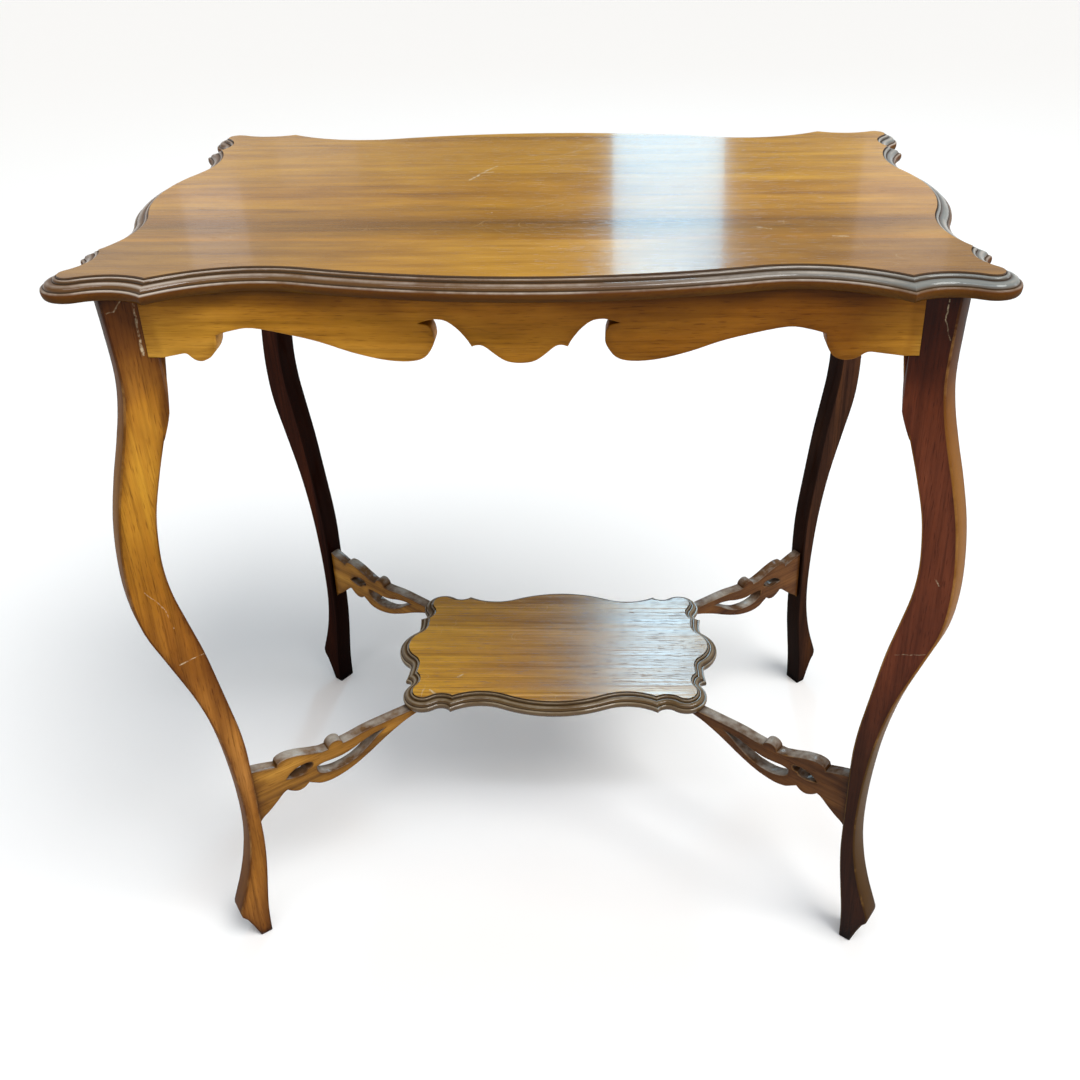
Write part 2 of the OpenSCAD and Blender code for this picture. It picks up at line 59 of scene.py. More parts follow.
# %% Camera
def placed(name, data):
    """A new object in the scene, made of a camera, a lamp or a mesh."""
    made = bpy.data.objects.new(name, data)
    bpy.context.scene.collection.objects.link(made)
    return made


eye = bpy.data.cameras.new("eye")
eye.sensor_width = 36.0
eye.lens = 37.29
eye.shift_x = -0.048
eye.shift_y = -0.1277
camera = placed("camera", eye)
camera.location = (0.0650, -0.9579, 0.9900)
camera.rotation_euler = (1.09966, 0.01167, 0.01995)
bpy.context.scene.camera = camera
print("camera", tuple(camera.location))

# %% [markdown]
# ## Floor and light
# The real table was cut out onto white, with a soft shadow below. A wide pale floor keeps that
# shadow. A broad, very soft sun shines from the front right, and a long strip overhead draws
# glints along the beads. The polish of the top and of the shelf shows what stands behind the
# table: two panels make the bluish stripe of a tall window, and three faint ones the doorways
# beside it. A window at the right lights that end.


# %% Colours from hex
def linear(hex_colour):
    """Turns an sRGB hex value into Blender's linear colour."""
    parts = [int(hex_colour[i:i + 2], 16) / 255 for i in (1, 3, 5)]
    return [p / 12.92 if p <= 0.04045 else ((p + 0.055) / 1.055) ** 2.4 for p in parts] + [1.0]


print("half grey in linear light is", round(linear("#808080")[0], 3))


# %% One helper for every shader node
def node(tree, kind, inputs=(), out=None, stops=None, **settings):
    """Adds a shader node, sets its properties, fills or links its inputs, by name or in their
    order, and places ramp stops. A text among the values is a colour in hex. Gives the output
    called out, or else the node itself."""
    def value_of(given):
        return linear(given) if isinstance(given, str) else given

    made = tree.nodes.new("ShaderNode" + kind)
    for name, value in settings.items():
        setattr(made, name, value)
    for name, value in inputs.items() if isinstance(inputs, dict) else enumerate(inputs):
        if isinstance(value, bpy.types.NodeSocket):
            tree.links.new(value, made.inputs[name])
        else:
            made.inputs[name].default_value = value_of(value)
    if stops:
        ramp = made.color_ramp.elements
        while len(ramp) < len(stops):
            ramp.new(1.0)
        for element, (place, colour) in zip(ramp, sorted(stops)):
            element.position = place
            element.color = value_of(colour)
    return made if out is None else made.outputs[out]


# Settings that come back in many nodes: sums, and two ways to lay one colour over another.
TIMES = {"out": 0, "operation": "MULTIPLY"}
TIMES_PLUS = {"out": 0, "operation": "MULTIPLY_ADD"}
PAINTED = {"out": 2, "data_type": "RGBA"}
GLAZED = {"out": 2, "data_type": "RGBA", "blend_type": "MULTIPLY"}


def new_material(name):
    """An empty node material and its tree."""
    material = bpy.data.materials.new(name)
    material.use_nodes = True
    material.node_tree.nodes.clear()
    return material, material.node_tree


# %% Floor
# Plain matt paint. Seen directly or mirrored, it also glows by itself a little, as a white
# background does. That glow lights nothing.
FLOOR_REACH = 15.0  # metres from the middle, further than any view shows
FLOOR_GLOW = 0.04
floor_material, tree = new_material("pale_floor")
paint = node(tree, "BsdfPrincipled",
             {"Base Color": "#F8F8F8", "Roughness": 0.7, "Specular IOR Level": 0.1}, 0)
glow = node(tree, "Emission", {"Color": "#FFFFFF", "Strength": 1.0}, 0)
rays = node(tree, "LightPath").outputs
seen = node(tree, "Math", (rays["Is Camera Ray"], rays["Is Glossy Ray"]), 0, operation="MAXIMUM")
seen = node(tree, "Math", (seen, rays["Is Transmission Ray"]), 0, operation="MAXIMUM")
share = node(tree, "Math", (seen, FLOOR_GLOW), **TIMES)
node(tree, "OutputMaterial", {"Surface": node(tree, "MixShader", (share, paint, glow), 0)})

bm = bmesh.new()
bmesh.ops.create_grid(bm, x_segments=2, y_segments=2, size=FLOOR_REACH)
floor_mesh = bpy.data.meshes.new("floor")
bm.to_mesh(floor_mesh)
bm.free()
floor_mesh.materials.append(floor_material)
floor = placed("floor", floor_mesh)
print("floor laid", 2 * FLOOR_REACH, "m wide")

# %% World
# A light tent: white at the horizon, soft at the front, at the sides and overhead, with a dim
# wall behind. The polished top mirrors the dim wall, so that its own colour stays, and its two
# ends catch a little of the sides. Each level is given for a height from horizon to zenith.
SKY = 4.0  # strength of a level of 1 in the ramps
WALL = [(0.0, 1.0), (0.11, 1.0), (0.16, 0.12), (0.5, 0.14), (0.80, 0.35), (0.92, 0.5), (1.0, 0.6)]
TENT = [(0.0, 1.0), (0.11, 1.0), (0.16, 0.6), (0.36, 0.6), (0.5, 0.3), (0.7, 0.3), (0.90, 0.5),
        (1.0, 0.6)]
world = bpy.data.worlds.new("studio")
world.use_nodes = True
tree = world.node_tree
tree.nodes.clear()
axes = node(tree, "SeparateXYZ", {"Vector": node(tree, "TexCoord", out="Generated")}).outputs
wall, tent = [node(tree, "ValToRGB", {"Fac": axes["Z"]}, 0,
                   stops=[(height, (v / SKY, v / SKY, v / SKY, 1)) for height, v in levels])
              for levels in (WALL, TENT)]
aside = node(tree, "Math", (axes["X"],), 0, operation="ABSOLUTE")
aside = node(tree, "MapRange", (aside, 0.11, 0.42), 0)
ahead = node(tree, "MapRange", (axes["Y"], 0.1, -0.3), 0)
open_side = node(tree, "Math", (aside, ahead), 0, operation="MAXIMUM")
level = node(tree, "Mix", {0: open_side, 6: wall, 7: tent}, **PAINTED)
sky = node(tree, "Background", {"Color": level, "Strength": SKY}, 0)
node(tree, "OutputWorld", {"Surface": sky})
bpy.context.scene.world = world
bpy.context.scene.view_settings.view_transform = "Standard"
print("studio lit from", len(tree.nodes), "nodes")


# %% Lamps
def lamp(name, place, target, size, watts, colour):
    """A soft rectangular lamp that faces a point and isn't seen by the camera itself."""
    light = bpy.data.lights.new(name, "AREA")
    light.shape = "RECTANGLE"
    light.size, light.size_y = size
    light.energy = watts
    light.color = linear(colour)[:3]
    hung = placed(name, light)
    hung.location = place
    facing = Vector(target) - Vector(place)
    hung.rotation_euler = facing.to_track_quat("-Z", "Y").to_euler()
    hung.visible_camera = False


sun = bpy.data.lights.new("key", "SUN")
sun.energy = 2.25
sun.angle = math.radians(32)
sun.color = linear("#FFFDF9")[:3]
key = placed("key", sun)
key.rotation_euler = Vector((-0.52, 0.38, -1.0)).to_track_quat("-Z", "Y").to_euler()
lamp("skylight", (0.0, -1.4, 2.9), (0, 0, 0.5), (2.4, 0.22), 16.0, "#F0F5FF")
lamp("window_low", (0.23, 2.6, 1.48), (0.23, 0, 0.9), (0.36, 0.86), 3.2, "#95CEED")
lamp("window_high", (0.24, 2.6, 2.40), (0.23, 0, 0.4), (0.36, 0.86), 14.5, "#BCE4FA")
lamp("doorway_left", (-1.27, 2.6, 1.60), (-0.25, 0, 0.7), (0.19, 0.30), 0.08, "#E2ECFF")
lamp("doorway_far_left", (-0.90, 2.6, 1.36), (-0.2, 0, 0.7), (0.25, 0.16), 0.02, "#F2F2FF")
lamp("doorway_right", (1.0, 2.6, 1.55), (0.3, 0, 0.7), (0.30, 0.45), 0.16, "#F2F2FF")
lamp("window_right", (2.5, 0.3, 1.25), (0.3, 0, 0.65), (0.6, 0.9), 4.0, "#EAF2FF")

# %% [markdown]
# ## The woods and their finish
# All show wood is walnut, brushed and rubbed with shellac: french polish. Its eye-catchers are
# long lazy streaks along the grain, fine dark pores, warm and dark clouds, and a thin glassy
# film that goes dull in the pores. One recipe makes every variant from four colours and the
# direction that the grain runs in, and each board reads another part of the pattern. The recipe
# goes in the order of the real thing: bare wood, stain, use, rubbing and dirt, gloss. Some of
# its stains and its darkened corners are painted shade, and some pale marks painted highlights.

# %% Ways the grain runs
ALONG_X = (0.0, 0.0, 0.0)
ALONG_Y = (0.0, 0.0, math.radians(-90))
ALONG_Z = (0.0, math.radians(90), 0.0)
print("grain turned by", ALONG_X, ALONG_Y, ALONG_Z)


# %% Noise in millimetres
def pattern(tree, vector, size_mm, detail, rough=0.5):
    """Noise whose grains have the given length, width and depth in millimetres."""
    scaled = node(tree, "Mapping", {"Vector": vector, "Scale": [1 / (s * MM) for s in size_mm]}, 0)
    return node(tree, "TexNoise", {"Vector": scaled, "Scale": 1.0, "Detail": detail,
                                   "Roughness": rough}, "Fac")


# %% Bare walnut
def bare_walnut(tree, board, bent, tones, contrast):
    """The colour of bare walnut, and its growth lines and pores as values."""
    figure = pattern(tree, bent, (420, 17, 17), 4, 0.55)  # lazy streaks, a finger wide
    lines = pattern(tree, bent, (260, 2.6, 2.6), 3, 0.6)  # fine growth lines
    # The real pores are 0.2 mm wide. They are drawn 0.9 mm wide, to show in the render.
    pores = pattern(tree, bent, (13, 0.9, 0.9), 1)
    clouds = pattern(tree, board, (130, 60, 60), 4)

    dark, middle, light, cloud = tones
    wood = node(tree, "ValToRGB", {"Fac": figure}, 0,
                stops=[(0.30, dark), (0.48, middle), (0.66, light)])
    clouded = node(tree, "MapRange", (clouds, 0.42, 0.68, 0.0, 0.7), 0)
    wood = node(tree, "Mix", {0: clouded, 6: wood, 7: cloud}, **PAINTED)
    line = node(tree, "ValToRGB", {"Fac": lines}, 0,
                stops=[(0.33, (0.62, 0.58, 0.52, 1)), (0.5, (0.95, 0.95, 0.94, 1)),
                       (0.7, (1.1, 1.08, 1.04, 1))])
    wood = node(tree, "Mix", {0: contrast, 6: wood, 7: line}, **GLAZED)
    pore = node(tree, "MapRange", (pores, 0.60, 0.72), 0)
    deep = node(tree, "Math", (pore, contrast), **TIMES)
    wood = node(tree, "Mix", {0: deep, 6: wood, 7: (0.50, 0.43, 0.38, 1)}, **GLAZED)

    # Darker places are also redder, so green and blue fall faster than red.
    mottle = pattern(tree, bent, (70, 14, 14), 4, 0.6)
    red = node(tree, "MapRange", (mottle, 0.36, 0.64, 0.84, 1.08), 0)
    green, blue = [node(tree, "Math", (red, power), 0, operation="POWER") for power in (1.2, 1.4)]
    mottle = node(tree, "CombineColor", (red, green, blue), 0)
    wood = node(tree, "Mix", {0: 1.0, 6: wood, 7: mottle}, **GLAZED)
    return wood, lines, pore


# %% A scratch
def line_mark(tree, where, start, stop, width):
    """A line from start to stop, in millimetres, that has faded out at width from its middle."""
    start, stop = Vector(start) * MM, Vector(stop) * MM
    way = stop - start
    off = node(tree, "VectorMath", (where, start), 0, operation="SUBTRACT")
    along = node(tree, "VectorMath", (off, way / way.length_squared), "Value",
                 operation="DOT_PRODUCT")
    along = node(tree, "Clamp", (along,), 0)
    foot = node(tree, "VectorMath", {0: way, "Scale": along}, 0, operation="SCALE")
    far = node(tree, "VectorMath", (off, foot), "Value", operation="DISTANCE")
    return node(tree, "MapRange", (far, width * 0.5 * MM, width * MM, 1.0, 0.0), 0)


# %% Marks of use
SHAKE = 1.3 * MM  # how far a scratch strays from its line


def used(tree, wood, where, sway, hairs, marks):
    """Years of hands and dusters: hair scratches, a few drops of wax, and single deeper marks."""
    if hairs:
        patchy = pattern(tree, where, (46, 46, 46), 3)
        patchy = node(tree, "MapRange", (patchy, 0.56, 0.66, 0.0, hairs), 0)
        loose = node(tree, "VectorMath", (sway, (0.25, 0.25, 0.25), where), **TIMES_PLUS)
        for per_metre in (21.0, 33.0):
            hair = node(tree, "TexVoronoi", {"Vector": loose, "Scale": per_metre}, "Distance",
                        feature="DISTANCE_TO_EDGE")
            hair = node(tree, "MapRange", (hair, 0.003, 0.009, 1.0, 0.0), 0)
            hair = node(tree, "Math", (hair, patchy), **TIMES)
            wood = node(tree, "Mix", {0: hair, 6: wood, 7: "#D9BE8C"}, **PAINTED)
    cells = node(tree, "TexVoronoi", {"Vector": where, "Scale": 26.0}).outputs
    drop = node(tree, "MapRange", (cells["Distance"], 0.014, 0.026, 0.8, 0.0), 0)
    chosen = node(tree, "SeparateColor", {"Color": cells["Color"]}, 0)
    chosen = node(tree, "MapRange", (chosen, 0.86, 0.87), 0)
    drop = node(tree, "Math", (drop, chosen), **TIMES)
    wood = node(tree, "Mix", {0: drop, 6: wood, 7: "#E2D6BC"}, **PAINTED)
    if marks:
        broken = node(tree, "MapRange", (pattern(tree, where, (3, 3, 3), 4, 0.7), 0.40, 0.60), 0)
        shake = node(tree, "TexNoise", {"Vector": where, "Scale": 130.0, "Detail": 2.0}, "Color")
        shaken = node(tree, "VectorMath", (shake, (2 * SHAKE,) * 3, where), **TIMES_PLUS)
        shaken = node(tree, "VectorMath", (shaken, (SHAKE,) * 3), 0, operation="SUBTRACT")
    for start, stop, width, strength in marks:
        mark = line_mark(tree, shaken, start, stop, width)
        mark = node(tree, "Math", (mark, broken), **TIMES)
        mark = node(tree, "Math", (mark, strength), **TIMES)
        wood = node(tree, "Mix", {0: mark, 6: wood, 7: "#DCCBA6"}, **PAINTED)
    return wood


# %% Rubbing, dirt and painted shade
def rubbed_dirty_and_shaded(tree, wood, where, wear, margin):
    """Old polish is rubbed thin along the eased edges. Corners are darkened with dirt and painted
    shade, and dirt keeps to the margins. Gives the colour, and where it is rubbed."""
    edge = node(tree, "Attribute", out="Fac", attribute_name="eased")
    patches = pattern(tree, where, (44, 44, 44), 6, 0.7)
    patches = node(tree, "MapRange", (patches, 0.50, 0.66, 0.0, wear), 0)
    rubbed = node(tree, "Math", (edge, patches), **TIMES)
    wood = node(tree, "Mix", {0: rubbed, 6: wood, 7: "#B98A4E"}, **PAINTED)
    # Painted shade and dirt: ambient occlusion darkens corners, joints and crevices.
    corner = node(tree, "AmbientOcclusion", {"Distance": 0.012}, "AO", samples=8)
    dirt_and_shade = node(tree, "MapRange", (corner, 0.45, 0.95, 0.75, 0.0), 0)
    wood = node(tree, "Mix", {0: dirt_and_shade, 6: wood, 7: (0.30, 0.24, 0.20, 1)}, **GLAZED)
    if margin:
        rim = node(tree, "AmbientOcclusion", {"Distance": 0.008}, "AO", samples=8, inside=True)
        rim = node(tree, "MapRange", (rim, 0.55, 0.95, margin, 0.0), 0)
        patches = pattern(tree, where, (30, 30, 30), 3)
        patches = node(tree, "MapRange", (patches, 0.35, 0.6, 0.5, 1.0), 0)
        rim = node(tree, "Math", (rim, patches), **TIMES)
        wood = node(tree, "Mix", {0: rim, 6: wood, 7: (0.34, 0.24, 0.18, 1)}, **GLAZED)
    return wood, rubbed


# %% French-polished walnut
def polished_walnut(name, grain, tones, place, gloss=0.22, stains_and_shade=(), wear=0.5, warp=0.014,
                    film=(0.5, 0.35), contrast=0.75, narrow=None, margin=0.0, hairs=0.0,
                    ripple=0.16, grainy=0.1, marks=()):
    """Walnut under french polish.
    grain: Euler angles that turn the grain onto X. tones: dark, middle, light and cloud hex.
    place: where in the pattern the board was cut. stains: rules for the darker regions, of stain
    and of painted shade.
    film: how strongly the filled wood and the shellac over it reflect.
    wear: how much is rubbed off the edges. warp: how far the grain wanders, in metres.
    contrast: of the growth lines.
    narrow: colour of a board's narrow sides. margin: darkness of the dirt along its edges.
    hairs: strength of the hair scratches. ripple: depth of the grain felt through the film.
    grainy: how much duller the film is on open grain than on dense grain.
    marks: scratches and worn lines as start, stop, width in millimetres and strength."""
    material, tree = new_material(name)
    where = node(tree, "TexCoord", out="Object")
    board = node(tree, "Mapping", {"Vector": where, "Location": place, "Rotation": grain}, 0)
    wander = node(tree, "Mapping", {"Vector": board, "Scale": (1 / 0.38, 1 / 0.07, 1 / 0.07)}, 0)
    sway = node(tree, "TexNoise", {"Vector": wander, "Scale": 1.0, "Detail": 1.0}, "Color")
    bent = node(tree, "VectorMath", (sway, (0.0, warp, warp), board), **TIMES_PLUS)

    wood, lines, pore = bare_walnut(tree, board, bent, tones, contrast)
    if narrow:
        side = node(tree, "Attribute", out="Fac", attribute_name="narrow")
        side = node(tree, "Math", (side, 0.8), **TIMES)
        wood = node(tree, "Mix", {0: side, 6: wood, 7: narrow}, **PAINTED)
    for tint_rule in stains_and_shade:
        wood = tint_rule(tree, wood, where)
    wood = used(tree, wood, where, sway, hairs, marks)
    wood, rubbed = rubbed_dirty_and_shaded(tree, wood, where, wear, margin)

    dull = node(tree, "Math", (lines, grainy, gloss - grainy / 2), **TIMES_PLUS)
    for thin_film, duller in ((pore, 0.18), (rubbed, 0.25)):
        dull = node(tree, "Math", (thin_film, duller, dull), **TIMES_PLUS)
    height = node(tree, "Math", (pore, -0.6, lines), **TIMES_PLUS)
    bump = node(tree, "Bump", {"Strength": ripple, "Distance": 0.0003, "Height": height}, 0)
    # Shellac has an IOR of about 1.52, and wood is no metal.
    shellac = node(tree, "BsdfPrincipled",
                   {"Base Color": wood, "Roughness": dull, "IOR": 1.52,
                    "Specular IOR Level": film[0], "Coat Weight": film[1],
                    "Coat Roughness": 0.4 * gloss, "Coat IOR": 1.5, "Normal": bump}, 0)
    node(tree, "OutputMaterial", {"Surface": shellac})
    print(name, "with", len(tree.nodes), "nodes")
    return material


# %% Stains and painted shade by place
def tinted_by_place(axis, low, high, stops, waver=0.0, scale=60):
    """A rule that multiplies the wood by colours placed from low to high along an axis, in
    millimetres. Most such rules are stains, and two are painted shade. The border between two
    colours wavers by about half of waver."""
    def rule(tree, wood, where):
        place = node(tree, "SeparateXYZ", {"Vector": where}, axis)
        shift = pattern(tree, where, (scale, scale, scale), 3)
        shift = node(tree, "Math", (shift, waver * MM, -waver * MM / 2), **TIMES_PLUS)
        place = node(tree, "Math", (place, shift), 0, operation="ADD")
        place = node(tree, "MapRange", (place, low * MM, high * MM), 0)
        tint = node(tree, "ValToRGB", {"Fac": place}, 0,
                    stops=[((v - low) / (high - low), c) for v, c in stops])
        return node(tree, "Mix", {0: 1.0, 6: wood, 7: tint}, **GLAZED)
    return rule


# %% [markdown]
# ## The serpentine outline
# The top and the shelf share one kind of outline: a bulge in the middle of each side, a dip, a
# sharp point, and a round ear at the corner. A joiner's template draws it with a compass, so
# here too a quarter of it is a chain of arcs, each touching the next, and two of them crossing
# at each point. The numbers are those of the model, in millimetres.


# %% Compass work for one quarter
def heading(vector):
    """The direction of a flat vector, in degrees from 0 to 360."""
    return math.degrees(math.atan2(vector.y, vector.x)) % 360


def meet(p, r, q, s, side):
    """Where a circle of radius r round p crosses one of radius s round q."""
    gap = (q - p).length
    along = (r * r - s * s + gap * gap) / (2 * gap)
    across = math.sqrt(r * r - along * along)
    u = (q - p) / gap
    return Vector((p.x + u.x * along - side * u.y * across, p.y + u.y * along + side * u.x * across))


def bow(dip_place, dip, radius_cap):
    """Radii of a bulge and of the bend that follows it, down to a dip."""
    both = (dip_place ** 2 + dip ** 2) / (2 * dip)
    bend = min(radius_cap, both / 2)
    return both - bend, bend


# %% One quarter of the outline
def template(half, dip_at, dip, point_at, point_in, ear_in, ear_r, flank):
    """One quarter of a serpentine outline as arcs: centre, radius, side of the offset, angles.
    Each name that ends in y belongs to a long side, and each in x to a short side."""
    half, ear = Vector(half), Vector(half) - Vector(ear_in)
    dip_y = Vector((dip_at[0] * half.x, half.y - dip[0]))
    dip_x = Vector((half.x - dip[1], dip_at[1] * half.y))
    point_y = Vector((point_at[0] * half.x, half.y - point_in[0]))
    point_x = Vector((half.x - point_in[1], point_at[1] * half.y))
    rise_y = (point_y - dip_y).length_squared / (2 * (point_y.y - dip_y.y))
    rise_x = (point_x - dip_x).length_squared / (2 * (point_x.x - dip_x.x))
    bulge_y, bend_y = bow(dip_y.x, dip[0], rise_y)
    bulge_x, bend_x = bow(dip_x.y, dip[1], rise_x)
    # Centres of the arcs: mid of a bulge, bc of a bend, rc of a rise, and fl of a flank.
    mid_y, mid_x = Vector((0, half.y - bulge_y)), Vector((half.x - bulge_x, 0))
    bc_y, bc_x = dip_y + Vector((0, bend_y)), dip_x + Vector((bend_x, 0))
    rc_y, rc_x = dip_y + Vector((0, rise_y)), dip_x + Vector((rise_x, 0))
    fl_y = meet(point_y, flank[0], ear, flank[0] + ear_r, 1)
    fl_x = meet(point_x, flank[1], ear, flank[1] + ear_r, -1)

    def tip_y(d):
        return meet(rc_y, rise_y - d, fl_y, flank[0] - d, -1)

    def tip_x(d):
        return meet(rc_x, rise_x - d, fl_x, flank[1] - d, 1)

    end = [(mid_x, bulge_x, 1, 0, heading(bc_x - mid_x)),
           (bc_x, bend_x, -1, heading(mid_x - bc_x), 180),
           (rc_x, rise_x, -1, 180, heading(tip_x(0) - rc_x))]
    corner = [(fl_x, flank[1], -1, heading(tip_x(0) - fl_x), heading(ear - fl_x)),
              (ear, ear_r, 1, heading(fl_x - ear), heading(fl_y - ear)),
              (fl_y, flank[0], -1, heading(ear - fl_y), heading(tip_y(0) - fl_y))]
    side = [(rc_y, rise_y, -1, heading(tip_y(0) - rc_y), 270),
            (bc_y, bend_y, -1, 270, heading(mid_y - bc_y)),
            (mid_y, bulge_y, 1, heading(bc_y - mid_y), 90)]
    return end, corner, side, tip_x, tip_y


# %% Templates of the top and of the shelf
top_plan = template((338, 212), (0.58, 0.472), (24.5, 18.5), (0.808, 0.708), (0, 6), (7, 10),
                    9.5, (57, 38))
shelf_plan = template((158.5, 86), (0.472, 0.384), (15, 16.2), (0.656, 0.512), (8.6, 15.7),
                      (24, 13.5), 8.5, (24, 18))
for plan_name, plan in (("top", top_plan), ("shelf", shelf_plan)):
    print(plan_name, [[round(v, 1) for v in (a[1], a[3], a[4])] for arcs in plan[:3] for a in arcs])

# %% [markdown]
# ## Running the moulded edge
# The edge is a run moulding: a quirk, a bead, a second quirk, a hollow and a thumb below. The
# cutter's profile is turned round the centre of each arc, which is what a router on a trammel
# does. Near a point each line of the profile is led on a little further round its arc, to the
# place where it crosses the same line of the other run, and that makes a true mitre. Each vertex
# keeps its place on the profile, so that the colour can follow it: quirks darker with dirt and
# painted shade, and crests paler with wear and painted highlights.

# %% Profile of the cutter
# Steps outwards and down, in millimetres, for a board 16 mm thick. A place on the profile goes
# from 0 to 1 by equal shares: the quirks are at 0.05, 0.28 and 0.60, and the thumb comes last.
CUTTER = [(0, 0), (0.4, -1.6), (1.2, -1.3), (2.0, -1.35), (2.8, -1.8), (3.4, -2.8), (3.6, -3.9),
          (5.0, -3.7), (6.4, -3.8), (8.0, -4.3), (9.4, -5.3), (10.3, -6.8), (10.5, -7.7),
          (11.8, -7.7), (12.7, -8.5), (13.0, -9.8), (13.0, -11.4), (12.7, -13.2), (12.1, -14.7),
          (11.3, -15.6), (10.4, -16.0)]
CUTTER_W = max(step[0] for step in CUTTER)
LAST = len(CUTTER) - 1
print("cutter of", LAST, "steps,", CUTTER_W, "mm wide")


# %% Turning the cutter round an arc
def turned(centre, radius, side, angle, step):
    """The place of one step of the profile at an angle of an arc, in metres."""
    out = radius + side * step[0]
    return Vector((centre.x + out * math.cos(math.radians(angle)),
                   centre.y + out * math.sin(math.radians(angle)), step[1])) * MM


def signed(angle):
    """The same angle between -180 and 180 degrees."""
    return (angle + 180) % 360 - 180


# %% Leading a run on to its mitre
def lead_on(bm, verts, profile, arc, tip, from_stop):
    """Turns each line of the profile round its arc, more and more, until its end meets tip."""
    layer = bm.verts.layers.float["run"]
    centre, _, _, start, stop = arc
    for vert in verts:
        share = signed(heading(vert.co.to_2d() / MM - centre) - start) / signed(stop - start)
        out = profile[round(vert[layer] * LAST)][0]
        extra = signed(heading(tip(out) - centre) - heading(tip(0) - centre))
        turn = math.radians(extra * (share if from_stop else 1 - share))
        bmesh.ops.rotate(bm, verts=[vert], cent=(centre * MM).to_3d(),
                         matrix=Matrix.Rotation(turn, 3, "Z"))


# %% One run of the cutter
FACET_DEG, FACET_MM = 6, 7  # no facet of a moulding turns or measures more than this


def run(bm, profile, arcs, first_tip=None, last_tip=None):
    """Turns the profile along a chain of arcs. Its ends may be led on to a mitre."""
    layer = bm.verts.layers.float["run"]
    line = [bm.verts.new(turned(*arcs[0][:4], step)) for step in profile]
    for i, vert in enumerate(line):
        vert[layer] = i / LAST
    last = line + [bm.edges.new(pair) for pair in zip(line, line[1:])]
    parts = []
    for arc in arcs:
        centre, radius, _, start, stop = arc
        sweep = signed(stop - start)
        steps = max(2, math.ceil(abs(sweep) / FACET_DEG),
                    math.ceil(abs(math.radians(sweep)) * radius / FACET_MM))
        old = set(bm.verts) - {g for g in last if isinstance(g, bmesh.types.BMVert)}
        last = bmesh.ops.spin(bm, geom=last, cent=(centre * MM).to_3d(), axis=(0, 0, 1),
                              angle=math.radians(sweep), steps=steps)["geom_last"]
        parts.append([v for v in bm.verts if v not in old])
    if first_tip:
        lead_on(bm, parts[0], profile, arcs[0], first_tip, False)
    if last_tip:
        lead_on(bm, parts[-1], profile, arcs[-1], last_tip, True)


# %% Board with a moulding all round
def moulded_board(plan, profile):
    """A closed board with its upper face at height 0: four quarters, each of three runs."""
    end, corner, side, tip_x, tip_y = plan
    bm = bmesh.new()
    layer = bm.verts.layers.float.new("run")
    run(bm, profile, end, last_tip=tip_x)
    run(bm, profile, corner, first_tip=tip_x, last_tip=tip_y)
    run(bm, profile, side, first_tip=tip_y)
    before = len(bm.verts)
    bmesh.ops.remove_doubles(bm, verts=bm.verts, dist=5e-6)
    print("joined at the mitres", before - len(bm.verts), "of", 2 * len(profile))
    for axis in "XY":
        bmesh.ops.mirror(bm, geom=bm.verts[:] + bm.edges[:] + bm.faces[:], axis=axis,
                         merge_dist=1e-5)
    for level in (0, 1):
        rim = [e for e in bm.edges if e.is_boundary
               and all(abs(v[layer] - level) < 0.2 / LAST for v in e.verts)]
        bmesh.ops.edgeloop_fill(bm, edges=rim)
    bmesh.ops.recalc_face_normals(bm, faces=bm.faces)
    print("open edges", sum(e.is_boundary for e in bm.edges))
    return bm


# %% A finished piece
FLAT_CORNERS = 12  # a face with as many corners is a whole flat side of a board
CREASE = math.radians(32)  # an edge that turns further is a crisp corner


def finish_piece(bm, name, material, slot, *replaced):
    """Turns a bmesh into a named piece on the body, with smooth curves and crisp corners."""
    for face in bm.faces:
        face.smooth = len(face.verts) < FLAT_CORNERS
    for edge in bm.edges:
        edge.smooth = len(edge.link_faces) == 2 and edge.calc_face_angle() < CREASE
    mesh = bpy.data.meshes.new(name)
    bm.to_mesh(mesh)
    bm.free()
    mesh.materials.append(material)
    piece = placed(name, mesh)
    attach(piece, "root")
    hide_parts(*replaced)
    print(name, len(mesh.polygons), "faces")
    return piece


# %% [markdown]
# ## The top
# The top is two boards glued edge to edge, then shaped as one. So one board is run, copied,
# and each copy is cut on the line of the joint. The two boards come from different parts of
# the log, and the front one is lighter.


